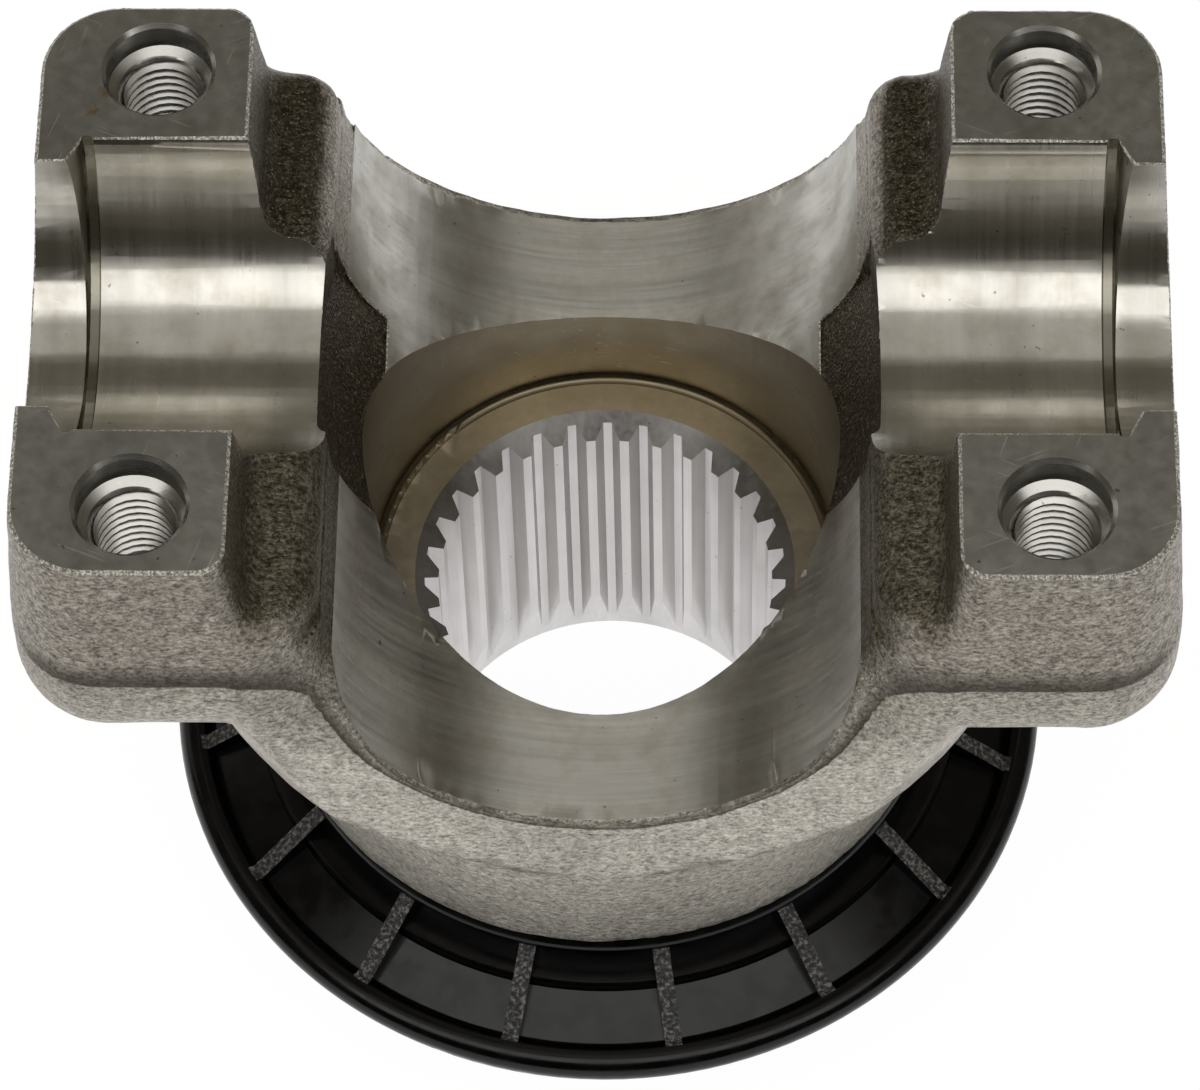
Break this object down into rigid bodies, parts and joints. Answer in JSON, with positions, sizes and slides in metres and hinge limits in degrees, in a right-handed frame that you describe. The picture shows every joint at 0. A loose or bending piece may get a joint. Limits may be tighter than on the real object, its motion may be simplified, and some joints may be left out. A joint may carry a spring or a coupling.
{
  "type": "forged yoke",
  "caption": "Forged steel end yoke with a splined hub, half-round seats for the bearing caps of a cross joint, and a moulded dust slinger pressed on its hub.",
  "frame": {"origin": "centre of the hub's end face, on the spline axis", "axes": "+Z along the spline axis from the hub to the pads, X through the two bearing cap seats"},
  "size_m": [0.103, 0.0842, 0.0874],
  "materials": {
    "forged_steel": "shot-blasted forging skin with satin machined seats",
    "slinger_black": "gloss"
  },
  "bodies": {
    "root": {"yoke": "forged_steel", "dust_slinger": "slinger_black"}
  },
  "joints": []
}
